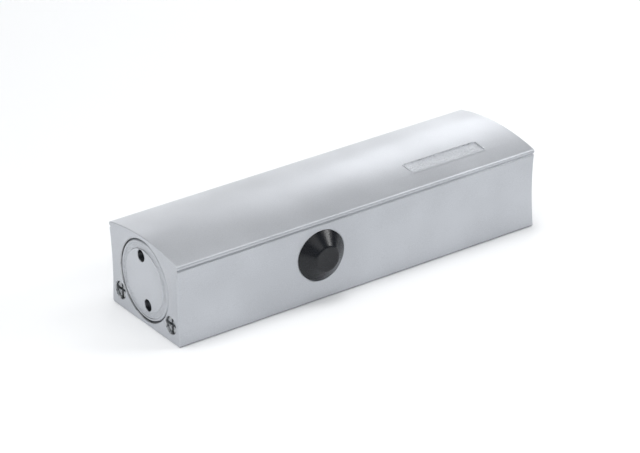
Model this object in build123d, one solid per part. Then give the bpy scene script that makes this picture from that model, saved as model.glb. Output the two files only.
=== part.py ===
from build123d import *
import math
import os

# An overhead door closer, in millimetres. The mounting face lies on z = 0 and the origin is at its
# middle. X runs along the body, with the closing-force plug at +X. Y runs along the spindle, with
# the cap at -Y and the arm's stub at +Y. Z points away from the door, towards the arched front.

# Case
body_length = 213.0
body_width = 60.0
crown_height = 46.8
crown_rise = 3.6
side_waist = 1.2
foot_chamfer = 0.8
lip_drop = 3.8
groove_drop = 2.6
groove_depth = 0.9
bead_proud = 0.3
bead_foot = 0.9
bead_head = 0.6
bead_setback = 0.6
end_break = 0.3

# Bores that hold the works
crown_wall = 2.3
floor_wall = 2.5
bore_step = 2.0
plug_thread_length = 10.0
thread_clearance = 0.05
running_clearance = 0.04
seat_gap = 0.1

# End plugs
plug_recess = 0.1
plug_edge = 0.7
spanner_hole_radius = 2.75
spanner_hole_depth = 6.0
spanner_edge_distance = 8.4
spanner_angle = 100.0

# Rack and pinion
spindle_x = -23.8
module = 2.0
pinion_teeth = 10
pressure_angle = 25.0
addendum_in_modules = 0.8
dedendum_in_modules = 1.0
tooth_play = 0.2
rack_overlap = 0.5
pinion_end_gap = 1.0
rack_end_gap = 3.0
opening_angle = 180.0

# Spindle and its bearings
journal_radius = 7.5
journal_setback = 0.2
stub_length = 4.6
stub_across_flats = 10.4
stub_taper = 5.0
stub_hole_radius = 2.5
stub_hole_depth = 12.0
bearing_length = 6.0
bearing_pass = 0.4
ring_step = 1.0
ring_length = 7.2
ring_setback = 0.3
ring_shaft_gap = 0.4
ring_hole_radius = 1.4
ring_hole_depth = 1.8
ring_hole_count = 2
seal_length = 3.2
spot_face_depth = 0.2
spot_face_rim = 0.4

# Spindle cap
cap_overhang = 0.3
cap_front_radius = 6.5
cap_front_wall = 1.7
cap_gap = 0.3
cap_front_chamfer = 0.5
cap_rim = 0.35

# Piston
piston_start = 6.0
piston_tail = 15.8
window_margin = 1.2
window_floor_gap = 0.5
rail_end_gap = 1.2
window_round = 3.0
spring_spigot_length = 3.0
spring_spigot_gap = 0.3

# Check valve in the piston's head
check_disc_radius = 3.3
check_disc_thickness = 1.2
check_lift = 0.8
check_side_gap = 0.35
oil_way_radius = 2.0
cage_step = 1.0
retainer_thickness = 1.2
retainer_recess = 0.5
retainer_width = 3.6

# Closing spring and its adjuster
spring_wire = 5.0
spring_bore_gap = 2.0
spring_turns = 5.5
spring_sides_per_turn = 16
adjuster_pitch = 1.5
adjuster_turns = 7.0
adjuster_radius = 5.0
adjuster_thread_length = 24.0
adjuster_collar_radius = 8.0
adjuster_collar_length = 3.0
adjuster_head_recess = 2.5
adjuster_pocket_radius = 7.5
adjuster_pocket_depth = 5.0
hex_across_flats = 5.0
hex_depth = 5.0
circlip_width = 1.0
circlip_radius = 6.6
circlip_groove_depth = 0.5
circlip_mouth = 3.0
plate_thickness = 5.0
plate_clearance = 0.3

# Regulating valves
valve_radius = 4.4
valve_wall = 1.15
valve_aim_height = 4.1
valve_recess = 1.2
valve_body_length = 8.4
needle_tip_radius = 1.0
needle_length = 2.5
valve_seat_radius = 2.0
valve_slot_width = 1.3
valve_slot_length = 6.4
valve_slot_depth = 1.8
port_radius = 1.25
port_inset = 13.2
port_to_spindle = 10.0
latching_travel = 7.9

# Fixing holes in the mounting face
fixing_spacing_x = 132.0
fixing_spacing_y = 34.0
fixing_hole_radius = 2.5
fixing_hole_depth = 8.5

# Sizes that follow from the ones above
near_end = -body_length / 2
far_end = body_length / 2
ridge_height = crown_height - crown_rise
lip_height = ridge_height - lip_drop
groove_height = ridge_height - groove_drop
axis_height = (crown_height - crown_wall + floor_wall) / 2
plug_radius = (crown_height - crown_wall - floor_wall) / 2
bore_radius = plug_radius - bore_step
spanner_pitch_radius = plug_radius - spanner_edge_distance
pitch_radius = module * pinion_teeth / 2
addendum = module * addendum_in_modules
dedendum = module * dedendum_in_modules
tooth_pitch = math.pi * module
base_circle_radius = pitch_radius * math.cos(math.radians(pressure_angle))
pinion_tip_radius = pitch_radius + addendum
pinion_root_radius = pitch_radius - dedendum
bearing_radius = pinion_tip_radius + bearing_pass
ring_radius = bearing_radius + ring_step
cap_base_radius = ring_radius + cap_overhang
piston_travel = pitch_radius * math.radians(opening_angle)
piston_left = near_end + plug_thread_length + piston_start
window_left = spindle_x - bearing_radius - window_margin - piston_travel
window_right = spindle_x + bearing_radius + window_margin
window_roof = axis_height + pitch_radius + dedendum
window_floor = axis_height - pinion_tip_radius - window_floor_gap
piston_right = window_right + piston_tail
closing_port_inset = spindle_x - port_to_spindle - near_end
latching_port_inset = window_left + latching_travel - near_end
backcheck_port_inset = far_end - spindle_x - port_to_spindle
plate_travel = adjuster_pitch * adjuster_turns
plate_right = far_end - plug_thread_length - adjuster_collar_length - seat_gap
plate_left = plate_right - plate_thickness
cage_radius = check_disc_radius + check_side_gap
check_disc_left = piston_left + retainer_recess + retainer_thickness + check_lift
spring_outer_radius = bore_radius - spring_bore_gap
spigot_radius = spring_outer_radius - spring_wire - spring_spigot_gap
valve_angle = math.atan2(axis_height - valve_aim_height, body_width / 2)
valve_pitch_radius = plug_radius + valve_wall + valve_radius
valve_y = valve_pitch_radius * math.cos(valve_angle)
valve_height = axis_height - valve_pitch_radius * math.sin(valve_angle)
waist_half_width = body_width / 2 - side_waist
spot_face = waist_half_width - spot_face_depth
ring_face = spot_face - ring_setback
ring_inner_face = ring_face - ring_length
bearing_inner_face = ring_inner_face - seat_gap - bearing_length
pinion_half_width = bearing_inner_face - pinion_end_gap
rack_half_width = bearing_inner_face - rack_end_gap
rail_half_width = bearing_inner_face - rail_end_gap
stub_start = spot_face - journal_setback
spindle_half_length = stub_start + stub_length


def rod_along_x(radius, start, end, y=0.0, z=axis_height):
    """A cylinder along X from start to end."""
    return Pos((start + end) / 2, y, z) * Rot(0, 90, 0) * Cylinder(radius, abs(end - start))


def rod_along_y(radius, start, end):
    """A cylinder along Y about the spindle's axis."""
    return Pos(spindle_x, (start + end) / 2, axis_height) * Rot(90, 0, 0) * Cylinder(radius, abs(end - start))


def turned_along_x(outline, start, way=1, y=0.0, z=axis_height):
    """Turn an outline of (distance, radius) pairs about a line along X; way is 1 towards +X."""
    points = [(start + way * distance, radius) for distance, radius in outline]
    face = Plane.XZ * make_face(Polyline(*points, close=True))
    return Pos(0, y, z) * revolve(face, Axis.X)


def turned_along_y(outline, side):
    """Turn an outline of (distance, radius) pairs about the spindle's axis; side is 1 towards +Y."""
    points = [(radius, side * distance) for distance, radius in outline]
    face = make_face(Polyline(*points, close=True))
    return Pos(spindle_x, 0, axis_height) * revolve(face, Axis.Y)


def polar(radius, angle):
    return (radius * math.cos(angle), radius * math.sin(angle))


def ring_outline(start, end, inner, outer):
    return [(start, inner), (end, inner), (end, outer), (start, outer)]


def save(shape, name):
    export_step(shape, os.path.join("parts", name + ".step"))


# Case

def case_section():
    """The case's end outline: waisted sides, a groove under a bead, and an arched front."""
    half = body_width / 2
    foot = (half, foot_chamfer)
    lip = (half, lip_height)
    waist = (half - side_waist, (foot_chamfer + lip_height) / 2)
    groove = (half - groove_depth, groove_height)
    bead_low = (half + bead_proud, groove_height + bead_foot)
    bead_high = (half + bead_proud, ridge_height - bead_head)
    shoulder = (half - bead_setback, ridge_height)
    side_edges = [
        Line((0, 0), (half - foot_chamfer, 0)),
        Line((half - foot_chamfer, 0), foot),
        ThreePointArc(foot, waist, lip),
        Line(lip, groove),
        Line(groove, bead_low),
        Line(bead_low, bead_high),
        Line(bead_high, shoulder),
    ]
    arch = ThreePointArc(shoulder, (0, crown_height), (-shoulder[0], shoulder[1]))
    other_side = [mirror(edge, Plane.YZ) for edge in side_edges]
    return make_face(side_edges + [arch] + other_side)


def spindle_bore(side):
    """The stepped bore that takes one bearing, its ring and the spot face under the cap or arm."""
    outline = [
        (0, 0),
        (0, bearing_radius),
        (ring_inner_face, bearing_radius),
        (ring_inner_face, ring_radius),
        (spot_face, ring_radius),
        (spot_face, cap_base_radius + spot_face_rim),
        (body_width, cap_base_radius + spot_face_rim),
        (body_width, 0),
    ]
    return turned_along_y(outline, side)


def valve_bore(end, way, side, port_insets):
    """A valve's stepped bore from one end face, its oil way, and ports into the main bore."""
    y = side * valve_y
    chamber = port_inset + port_radius + seat_gap
    outline = [
        (0, 0),
        (0, valve_radius),
        (chamber, valve_radius),
        (chamber, valve_seat_radius),
        (port_insets[-1], valve_seat_radius),
        (port_insets[-1], 0),
    ]
    drilling = turned_along_x(outline, end, way, y, valve_height)
    rise = axis_height - valve_height
    lean = math.degrees(math.atan2(y, rise))
    reach = math.hypot(valve_y, rise) - bore_radius / 2
    for inset in port_insets:
        port = Pos(0, 0, reach / 2) * Cylinder(port_radius, reach)
        drilling += Pos(end + way * inset, y, valve_height) * Rot(lean, 0, 0) * port
    return drilling


def housing():
    case = extrude(Plane.YZ.offset(near_end) * case_section(), body_length)
    end_faces = [case.faces().sort_by(Axis.X)[0], case.faces().sort_by(Axis.X)[-1]]
    case = chamfer([edge for face in end_faces for edge in face.edges()], end_break)
    case -= rod_along_x(bore_radius, near_end - 1, far_end + 1)
    case -= rod_along_x(plug_radius, near_end - 1, near_end + plug_thread_length)
    case -= rod_along_x(plug_radius, far_end - plug_thread_length, far_end + 1)
    case -= spindle_bore(-1)
    case -= spindle_bore(1)
    case -= valve_bore(near_end, 1, -1, [port_inset, closing_port_inset])
    case -= valve_bore(near_end, 1, 1, [port_inset, latching_port_inset])
    case -= valve_bore(far_end, -1, 1, [port_inset, backcheck_port_inset])
    for x in (-fixing_spacing_x / 2, fixing_spacing_x / 2):
        for y in (-fixing_spacing_y / 2, fixing_spacing_y / 2):
            case -= Pos(x, y, fixing_hole_depth / 2) * Cylinder(fixing_hole_radius, fixing_hole_depth)
    return case


# End plugs

def plug_outline(core_radius):
    """Half section of an end plug, from a core radius out to its thread."""
    thread = plug_radius - thread_clearance
    return [
        (plug_recess, core_radius),
        (plug_recess, thread - plug_edge),
        (plug_recess + plug_edge, thread),
        (plug_thread_length, thread),
        (plug_thread_length, core_radius),
    ]


def spanner_holes(end, way):
    holes = []
    for turn in (0, 180):
        y, z = polar(spanner_pitch_radius, math.radians(spanner_angle + turn))
        holes.append(rod_along_x(spanner_hole_radius, end, end + way * spanner_hole_depth, -way * y, axis_height + z))
    return holes


def cylinder_plug():
    return turned_along_x(plug_outline(0), near_end) - spanner_holes(near_end, 1)


def spring_plug():
    plug = turned_along_x(plug_outline(adjuster_radius + running_clearance), far_end, -1)
    plug -= rod_along_x(adjuster_pocket_radius, far_end, far_end - adjuster_pocket_depth)
    return plug - spanner_holes(far_end, -1)


# Rack and pinion

def involute_turn(radius):
    """Angle that an involute turns through from the base circle out to a radius."""
    roll = math.sqrt((radius / base_circle_radius) ** 2 - 1)
    return roll - math.atan(roll)


def flank_points(side):
    """Foot, middle and tip of an involute flank, on the tooth that points along the local X axis."""
    thickness = tooth_pitch / 2 - tooth_play / 2
    half_angle = thickness / 2 / pitch_radius + involute_turn(pitch_radius)
    points = []
    for radius in (base_circle_radius, (base_circle_radius + pinion_tip_radius) / 2, pinion_tip_radius):
        points.append(polar(radius, side * (half_angle - involute_turn(radius))))
    return points


def pinion_section():
    """The involute teeth, with arcs at the tips and between the roots."""
    step = 360 / pinion_teeth
    left = flank_points(-1)
    right = flank_points(1)
    root_angle = math.atan2(right[0][1], right[0][0])
    left_root = polar(pinion_root_radius, -root_angle)
    right_root = polar(pinion_root_radius, root_angle)
    root_middle = polar(pinion_root_radius, math.radians(step / 2))
    next_root = polar(pinion_root_radius, math.radians(step) - root_angle)
    tooth = [
        Line(left_root, left[0]),
        ThreePointArc(*left),
        ThreePointArc(left[-1], (pinion_tip_radius, 0), right[-1]),
        ThreePointArc(right[2], right[1], right[0]),
        Line(right[0], right_root),
        ThreePointArc(right_root, root_middle, next_root),
    ]
    return make_face([Rot(0, 0, step * n) * edge for n in range(pinion_teeth) for edge in tooth])


def rack_teeth():
    """Straight-flanked teeth that hang from the piston's upper rail, with a space over the spindle."""
    lean = math.tan(math.radians(pressure_angle))
    half_at_pitch_line = (tooth_pitch - tooth_play) / 4
    tip_half = half_at_pitch_line - addendum * lean
    top_half = half_at_pitch_line + (dedendum + rack_overlap) * lean
    tip = axis_height + pitch_radius - addendum
    top = window_roof + rack_overlap
    first = math.ceil((window_left - spindle_x) / tooth_pitch)
    last = math.floor((window_right - spindle_x) / tooth_pitch)
    teeth = []
    for number in range(first, last):
        x = spindle_x + (number + 0.5) * tooth_pitch
        corners = [(x - top_half, top), (x - tip_half, tip), (x + tip_half, tip), (x + top_half, top)]
        profile = Plane.XZ.offset(-rack_half_width) * make_face(Polyline(*corners, close=True))
        teeth.append(extrude(profile, 2 * rack_half_width))
    return teeth


def spindle():
    """The pinion shaft, with a tapered square stub and a threaded hole at both ends."""
    gear_plane = Plane(origin=(spindle_x, -pinion_half_width, axis_height), x_dir=(0, 0, 1), z_dir=(0, 1, 0))
    shaft = extrude(gear_plane * pinion_section(), 2 * pinion_half_width)
    shaft += rod_along_y(journal_radius, -stub_start, stub_start)
    for side in (-1, 1):
        stub_plane = Plane(origin=(spindle_x, side * stub_start, axis_height), x_dir=(1, 0, 0), z_dir=(0, side, 0))
        shaft += extrude(stub_plane * Rectangle(stub_across_flats, stub_across_flats), stub_length, taper=stub_taper)
        hole_end = spindle_half_length - stub_hole_depth
        shaft -= rod_along_y(stub_hole_radius, side * spindle_half_length, side * hole_end)
    return shaft


def piston():
    """Two round heads joined by two rails; the upper rail carries the rack."""
    radius = bore_radius - running_clearance
    body = rod_along_x(radius, piston_left, piston_right)
    body += rod_along_x(spigot_radius, piston_right, piston_right + spring_spigot_length)
    window = Rectangle(window_right - window_left, window_roof - window_floor)
    window = fillet(window.vertices(), window_round)
    middle = Pos((window_left + window_right) / 2, (window_roof + window_floor) / 2)
    body -= extrude(Plane.XZ.offset(-body_width / 2) * middle * window, body_width)
    flat = Box(window_right - window_left, bore_radius, body_width)
    for side in (-1, 1):
        y = side * (rail_half_width + bore_radius / 2)
        body -= Pos((window_left + window_right) / 2, y, axis_height) * flat
    body += [tooth & rod_along_x(radius, window_left, window_right) for tooth in rack_teeth()]
    return body - check_valve_bore()


# Check valve

def check_valve_bore():
    """The retainer's seat, the disc's cage, its flat seat and the oil way to the window."""
    retainer_end = retainer_recess + retainer_thickness
    seat = retainer_end + check_lift + check_disc_thickness + running_clearance
    outline = [
        (0, 0),
        (0, cage_radius + cage_step),
        (retainer_end, cage_radius + cage_step),
        (retainer_end, cage_radius),
        (seat, cage_radius),
        (seat, oil_way_radius),
        (window_left - piston_left, oil_way_radius),
        (window_left - piston_left, 0),
    ]
    return turned_along_x(outline, piston_left)


def check_disc():
    """The loose disc that shuts the oil way as the door closes and lifts as it opens."""
    return rod_along_x(check_disc_radius, check_disc_left, check_disc_left + check_disc_thickness)


def check_disc_retainer():
    """A pressed bar that stops the disc's lift and lets the oil by on both sides."""
    start = piston_left + retainer_recess
    end = start + retainer_thickness
    disc = rod_along_x(cage_radius + cage_step - thread_clearance, start, end)
    return disc & Pos((start + end) / 2, 0, axis_height) * Box(retainer_thickness, bore_radius, retainer_width)


# Closing spring and its adjuster

def closing_spring():
    """A coil of short straight lengths between the piston and the spring plate, with both ends cut flat."""
    radius = spring_outer_radius - spring_wire / 2
    length = plate_left - piston_right
    pitch = length / spring_turns
    steps = math.ceil((length + 2 * spring_wire) / pitch * spring_sides_per_turn)
    points = []
    for step in range(steps + 1):
        y, z = polar(radius, 2 * math.pi * step / spring_sides_per_turn)
        points.append((piston_right - spring_wire + pitch * step / spring_sides_per_turn, y, axis_height + z))
    path = Polyline(*points)
    section = Plane(origin=path @ 0, z_dir=path % 0, x_dir=(1, 0, 0)) * RegularPolygon(spring_wire / 2, 6)
    wire = sweep(section, path=path, transition=Transition.RIGHT)
    return wire & rod_along_x(bore_radius, piston_right, plate_left)


def spring_plate():
    """The nut that the adjusting screw drives along the bore."""
    plate_radius = bore_radius - plate_clearance
    outline = [
        (0, adjuster_radius + running_clearance),
        (0, plate_radius),
        (plate_thickness, plate_radius),
        (plate_thickness, spigot_radius),
        (plate_thickness + spring_spigot_length, spigot_radius),
        (plate_thickness + spring_spigot_length, adjuster_radius + running_clearance),
    ]
    return turned_along_x(outline, plate_right, -1)


def adjusting_screw():
    """A screw held by its collar and circlip, so that turning it moves the plate and not itself."""
    collar_start = plug_thread_length + seat_gap
    collar_end = plug_thread_length + adjuster_collar_length
    circlip_start = adjuster_pocket_depth - seat_gap - circlip_width
    outline = [
        (adjuster_head_recess, 0),
        (adjuster_head_recess, adjuster_radius),
        (circlip_start, adjuster_radius),
        (circlip_start, adjuster_radius - circlip_groove_depth),
        (adjuster_pocket_depth, adjuster_radius - circlip_groove_depth),
        (adjuster_pocket_depth, adjuster_radius),
        (collar_start, adjuster_radius),
        (collar_start, adjuster_collar_radius),
        (collar_end, adjuster_collar_radius),
        (collar_end, adjuster_radius),
        (collar_end + adjuster_thread_length, adjuster_radius),
        (collar_end + adjuster_thread_length, 0),
    ]
    screw = turned_along_x(outline, far_end, -1)
    socket = Plane.YZ * RegularPolygon(hex_across_flats / 2, 6, major_radius=False)
    head = far_end - adjuster_head_recess
    return screw - Pos(head, 0, axis_height) * extrude(socket, -hex_depth)


def adjusting_screw_circlip():
    """An open ring that snaps into the screw's groove inside the plug's pocket."""
    start = adjuster_pocket_depth - seat_gap - circlip_width + running_clearance
    outline = ring_outline(
        start,
        start + circlip_width - running_clearance,
        adjuster_radius - circlip_groove_depth + running_clearance,
        circlip_radius,
    )
    mouth = Box(2 * adjuster_pocket_depth, 2 * circlip_radius, circlip_mouth)
    return turned_along_x(outline, far_end, -1) - Pos(far_end, circlip_radius, axis_height) * mouth


# Regulating valves

def valve(end, way, side):
    """A cross-slotted screw with a needle that stands in the oil way."""
    y = side * valve_y
    body = valve_radius - thread_clearance
    body_end = valve_recess + valve_body_length
    seat = port_inset + port_radius
    tip = seat + needle_length
    needle_radius = valve_seat_radius - seat_gap
    outline = [
        (valve_recess, 0),
        (valve_recess, body),
        (body_end, body),
        (body_end, needle_radius),
        (seat, needle_radius),
        (tip, needle_tip_radius),
        (tip, 0),
    ]
    screw = turned_along_x(outline, end, way, y, valve_height)
    slot_middle = end + way * (valve_recess + valve_slot_depth / 2)
    for turn in (0, 90):
        slot = Rot(turn, 0, 0) * Box(valve_slot_depth, valve_slot_length, valve_slot_width)
        screw -= Pos(slot_middle, y, valve_height) * slot
    return screw


# Spindle bearings, seals and cap

def bearing(side):
    """A plain bush that the spindle's journal runs in."""
    end = bearing_inner_face + bearing_length
    outline = ring_outline(bearing_inner_face, end, journal_radius + running_clearance, bearing_radius - thread_clearance)
    return turned_along_y(outline, side)


def shaft_seal(side):
    """A ring between the bearing and the screwed ring that holds the oil in."""
    end = ring_inner_face + seal_length
    outline = ring_outline(ring_inner_face, end, journal_radius + running_clearance, ring_radius - thread_clearance)
    return turned_along_y(outline, side)


def bearing_ring(side):
    """A screwed ring that holds the bearing and the shaft seal, with holes for a pin spanner."""
    outer = ring_radius - thread_clearance
    passage = journal_radius + ring_shaft_gap
    ring = turned_along_y(ring_outline(ring_inner_face + seal_length + seat_gap, ring_face, passage, outer), side)
    hole = rod_along_y(ring_hole_radius, side * ring_face, side * (ring_face - ring_hole_depth))
    for number in range(ring_hole_count):
        x, z = polar((outer + passage) / 2, 2 * math.pi * (number + 0.5) / ring_hole_count)
        ring -= Pos(x, 0, z) * hole
    return ring


def spindle_cap():
    """A low cone with a square socket that grips the spindle's stub."""
    base = spot_face + cap_gap
    front = spindle_half_length + cap_front_wall
    outline = [
        (base, 0),
        (base, cap_base_radius),
        (base + cap_rim, cap_base_radius),
        (front, cap_front_radius),
        (front, 0),
    ]
    cap = turned_along_y(outline, -1)
    cap = chamfer(cap.edges().filter_by(GeomType.CIRCLE).sort_by(Axis.Y)[0], cap_front_chamfer)
    plane = Plane(origin=(spindle_x, -stub_start, axis_height), x_dir=(1, 0, 0), z_dir=(0, -1, 0))
    across = stub_across_flats + 2 * thread_clearance
    return cap - extrude(plane * Rectangle(across, across), stub_length + seat_gap, taper=stub_taper)


os.makedirs("parts", exist_ok=True)
save(housing(), "housing")
save(cylinder_plug(), "cylinder_plug")
save(spring_plug(), "spring_plug")
save(spindle(), "spindle")
save(spindle_cap(), "spindle_cap")
save(piston(), "piston")
save(check_disc(), "check_disc")
save(check_disc_retainer(), "check_disc_retainer")
save(closing_spring(), "closing_spring")
save(spring_plate(), "spring_plate")
save(adjusting_screw(), "adjusting_screw")
save(adjusting_screw_circlip(), "adjusting_screw_circlip")
for name, end, way, side in (
    ("closing_speed_valve", near_end, 1, -1),
    ("latching_valve", near_end, 1, 1),
    ("backcheck_valve", far_end, -1, 1),
):
    save(valve(end, way, side), name)
for name, side in (("cap_side", -1), ("arm_side", 1)):
    save(bearing(side), name + "_bearing")
    save(bearing_ring(side), name + "_bearing_ring")
    save(shaft_seal(side), name + "_shaft_seal")
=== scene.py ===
"""Dresses the overhead door closer: painted case, end plugs, regulating screws, cap and works."""
import math

import bpy
from bpy.props import FloatProperty, FloatVectorProperty, IntProperty, PointerProperty
from mathutils import Matrix, Vector


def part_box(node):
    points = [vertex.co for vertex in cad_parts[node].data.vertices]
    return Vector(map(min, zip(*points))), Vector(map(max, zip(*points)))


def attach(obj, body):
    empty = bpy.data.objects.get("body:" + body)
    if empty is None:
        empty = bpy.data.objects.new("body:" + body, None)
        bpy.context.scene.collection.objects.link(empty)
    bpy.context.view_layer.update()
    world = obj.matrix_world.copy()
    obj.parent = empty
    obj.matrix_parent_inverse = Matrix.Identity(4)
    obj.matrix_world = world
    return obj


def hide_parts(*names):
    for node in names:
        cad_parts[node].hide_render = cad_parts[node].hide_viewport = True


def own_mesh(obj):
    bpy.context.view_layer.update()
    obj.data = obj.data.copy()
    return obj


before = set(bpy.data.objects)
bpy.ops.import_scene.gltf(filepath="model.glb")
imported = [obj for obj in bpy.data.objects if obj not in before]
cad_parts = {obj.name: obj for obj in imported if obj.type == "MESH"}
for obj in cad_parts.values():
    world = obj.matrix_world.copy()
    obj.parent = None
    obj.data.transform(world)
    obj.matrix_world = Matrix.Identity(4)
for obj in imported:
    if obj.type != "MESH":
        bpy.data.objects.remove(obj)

bl_info = {
    "name": "Overhead Door Closer",
    "version": (1, 0, 0),
    "blender": (4, 5, 0),
    "location": "3D View > Sidebar > Door Closer",
    "description": "Models and finishes the pieces of a surface-mounted door closer",
    "category": "Object",
}

MM = 0.001

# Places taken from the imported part, in millimetres
CASE_LOW, CASE_HIGH = (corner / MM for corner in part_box("housing"))
PLUG_LOW, PLUG_HIGH = (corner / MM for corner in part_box("cylinder_plug"))
SPINDLE_HIGH = Vector(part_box("spindle")[1]) / MM
CAP_LOW, CAP_HIGH = (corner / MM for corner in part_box("spindle_cap"))
VALVE_LOW, VALVE_HIGH = (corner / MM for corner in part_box("closing_speed_valve"))
SPRING_LOW, SPRING_HIGH = (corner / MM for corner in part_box("closing_spring"))
NEAR_END = CASE_LOW.x
FAR_END = CASE_HIGH.x
AXIS_Z = (PLUG_LOW.z + PLUG_HIGH.z) / 2
SPINDLE_X = (CAP_LOW.x + CAP_HIGH.x) / 2
VALVE_Y = -(VALVE_LOW.y + VALVE_HIGH.y) / 2
VALVE_Z = (VALVE_LOW.z + VALVE_HIGH.z) / 2
PLUG_THREAD = (PLUG_HIGH.z - PLUG_LOW.z) / 2
PLUG_FACE = PLUG_LOW.x - NEAR_END
PLUG_DEPTH = PLUG_HIGH.x - NEAR_END
CAP_RADIUS = (CAP_HIGH.x - CAP_LOW.x) / 2
SPRING_RADIUS = (SPRING_HIGH.z - SPRING_LOW.z) / 2
BORE = Vector((0, 0, AXIS_Z))
SPINDLE = Vector((SPINDLE_X, 0, AXIS_Z))
ALONG = Vector((1, 0, 0))
ACROSS = Vector((0, 1, 0))
ENDS = ((NEAR_END, ALONG), (FAR_END, -ALONG))
VALVES = (
    ("closing_speed_valve", NEAR_END, ALONG, -VALVE_Y),
    ("latching_valve", NEAR_END, ALONG, VALVE_Y),
    ("backcheck_valve", FAR_END, -ALONG, VALVE_Y),
)

# Sizes measured on the photograph or shared with the solids, in millimetres
SHOULDER = (29.4, 43.2)  # where the bead meets the arch, across and up
PANEL_PLACE = (61.5, -14.6)  # the panel's middle, along and across
PANEL_CREST = 0.45  # width of the rim's top
SPOT_FACE = 28.6  # the flat under the cap and the arm, from the middle of the case
PLUG_GAP = 0.4  # from the plug's rim to its bore
PLUG_PITCH, PLUG_THREAD_DEPTH = 1.5, 0.8
TRACK_INNER, TRACK_OUTER, TRACK_DEPTH = 16.0, 19.3, 0.35
PIN_CIRCLE, PIN_ANGLES = 12.6, (100, 280)  # radius through the spanner holes, and degrees
CAP_FRONT_RADIUS = 6.5
ARM_SCREW_RADIUS, ARM_SCREW_DEPTH = 2.5, 12.1
FIXING_X, FIXING_Y, FIXING_RADIUS, FIXING_DEPTH = 66, 17, 2.5, 8.5
ADJUSTER_PITCH = 1.5
COIL_SPLIT = 70.0  # the piston shortens the spring up to here, and the spring plate the rest

# How far a cutter reaches past the face that it cuts, in millimetres
OVERSHOOT = 2


def srgb(hex_colour):
    """An sRGB hex colour as the linear colour that shaders work in."""
    channels = [int(hex_colour[i : i + 2], 16) / 255 for i in (1, 3, 5)]
    linear = [c / 12.92 if c <= 0.04045 else ((c + 0.055) / 1.055) ** 2.4 for c in channels]
    return (*linear, 1.0)


def add_node(tree, kind, inputs=None, **settings):
    """Add a shader node with its settings; an input is a value or the socket that feeds it."""
    made = tree.nodes.new(kind)
    for name, value in settings.items():
        setattr(made, name, value)
    for name, value in (inputs or {}).items():
        if isinstance(value, bpy.types.NodeSocket):
            tree.links.new(value, made.inputs[name])
        else:
            made.inputs[name].default_value = value
    return made


# Settings that a user would change


class CaseSettings(bpy.types.PropertyGroup):
    paint_light: FloatVectorProperty(
        name="Paint", description="Silver paint where the flakes lie flat", subtype="COLOR", size=4,
        min=0, max=1, default=srgb("#c6c9ce"),
    )
    paint_dark: FloatVectorProperty(
        name="Paint, darker flakes", description="Silver paint where the flakes lie tilted",
        subtype="COLOR", size=4, min=0, max=1, default=srgb("#b6b9be"),
    )
    paint_roughness: FloatProperty(
        name="Paint roughness", description="How soft the paint's shine is", subtype="FACTOR",
        min=0.1, max=1, default=0.36,
    )
    paint_metallic: FloatProperty(
        name="Paint flake", description="Share of the light that the paint's metal flakes mirror",
        subtype="FACTOR", min=0, max=1, default=0.65,
    )
    edge_break: FloatProperty(
        name="Edge break", description="Rounding of the case's edges", subtype="DISTANCE",
        unit="LENGTH", min=0.00005, max=0.001, default=0.3 * MM,
    )
    panel_length: FloatProperty(
        name="Panel length", description="Length of the bare panel on the front, inside its rim",
        subtype="DISTANCE", unit="LENGTH", min=0.02, max=0.08, default=44.4 * MM,
    )
    panel_width: FloatProperty(
        name="Panel width", description="Width of the bare panel on the front, inside its rim",
        subtype="DISTANCE", unit="LENGTH", min=0.005, max=0.015, default=8.6 * MM,
    )
    panel_depth: FloatProperty(
        name="Panel depth", description="How far the panel lies below the front",
        subtype="DISTANCE", unit="LENGTH", min=0.0001, max=0.001, default=0.25 * MM,
    )
    rim_height: FloatProperty(
        name="Rim height", description="How far the panel's rim stands above the front",
        subtype="DISTANCE", unit="LENGTH", min=0.0001, max=0.00035, default=0.3 * MM,
    )


class PlugSettings(bpy.types.PropertyGroup):
    edge_round: FloatProperty(
        name="Plug edge", description="Rounding of the end plug's edge", subtype="DISTANCE",
        unit="LENGTH", min=0.0002, max=0.0015, default=1.1 * MM,
    )
    hole_radius: FloatProperty(
        name="Spanner hole", description="Radius of the pin spanner's holes", subtype="DISTANCE",
        unit="LENGTH", min=0.002, max=0.004, default=2.95 * MM,
    )


class ScrewSettings(bpy.types.PropertyGroup):
    slot_width: FloatProperty(
        name="Slot width", description="Width of the regulating screws' cross slots",
        subtype="DISTANCE", unit="LENGTH", min=0.0008, max=0.002, default=1.5 * MM,
    )
    slot_depth: FloatProperty(
        name="Slot depth", description="Depth of the regulating screws' cross slots",
        subtype="DISTANCE", unit="LENGTH", min=0.001, max=0.0025, default=1.8 * MM,
    )


class CapSettings(bpy.types.PropertyGroup):
    plastic: FloatVectorProperty(
        name="Plastic", description="Colour of the spindle cap", subtype="COLOR", size=4,
        min=0, max=1, default=srgb("#0f131a"),
    )
    gloss: FloatProperty(
        name="Gloss", description="Strength of the plastic's shine", subtype="FACTOR", min=0, max=1,
        default=0.4,
    )
    front_round: FloatProperty(
        name="Front edge", description="Rounding of the cap's front edge", subtype="DISTANCE",
        unit="LENGTH", min=0.0002, max=0.0015, default=0.8 * MM,
    )


class SpringSettings(bpy.types.PropertyGroup):
    wire: FloatProperty(
        name="Wire", description="Diameter of the closing spring's wire", subtype="DISTANCE",
        unit="LENGTH", min=0.002, max=0.006, default=5.0 * MM,
    )
    half_turns: IntProperty(
        name="Half turns", description="Length of the closing spring in half turns", min=6, max=20,
        default=11,
    )


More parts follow.
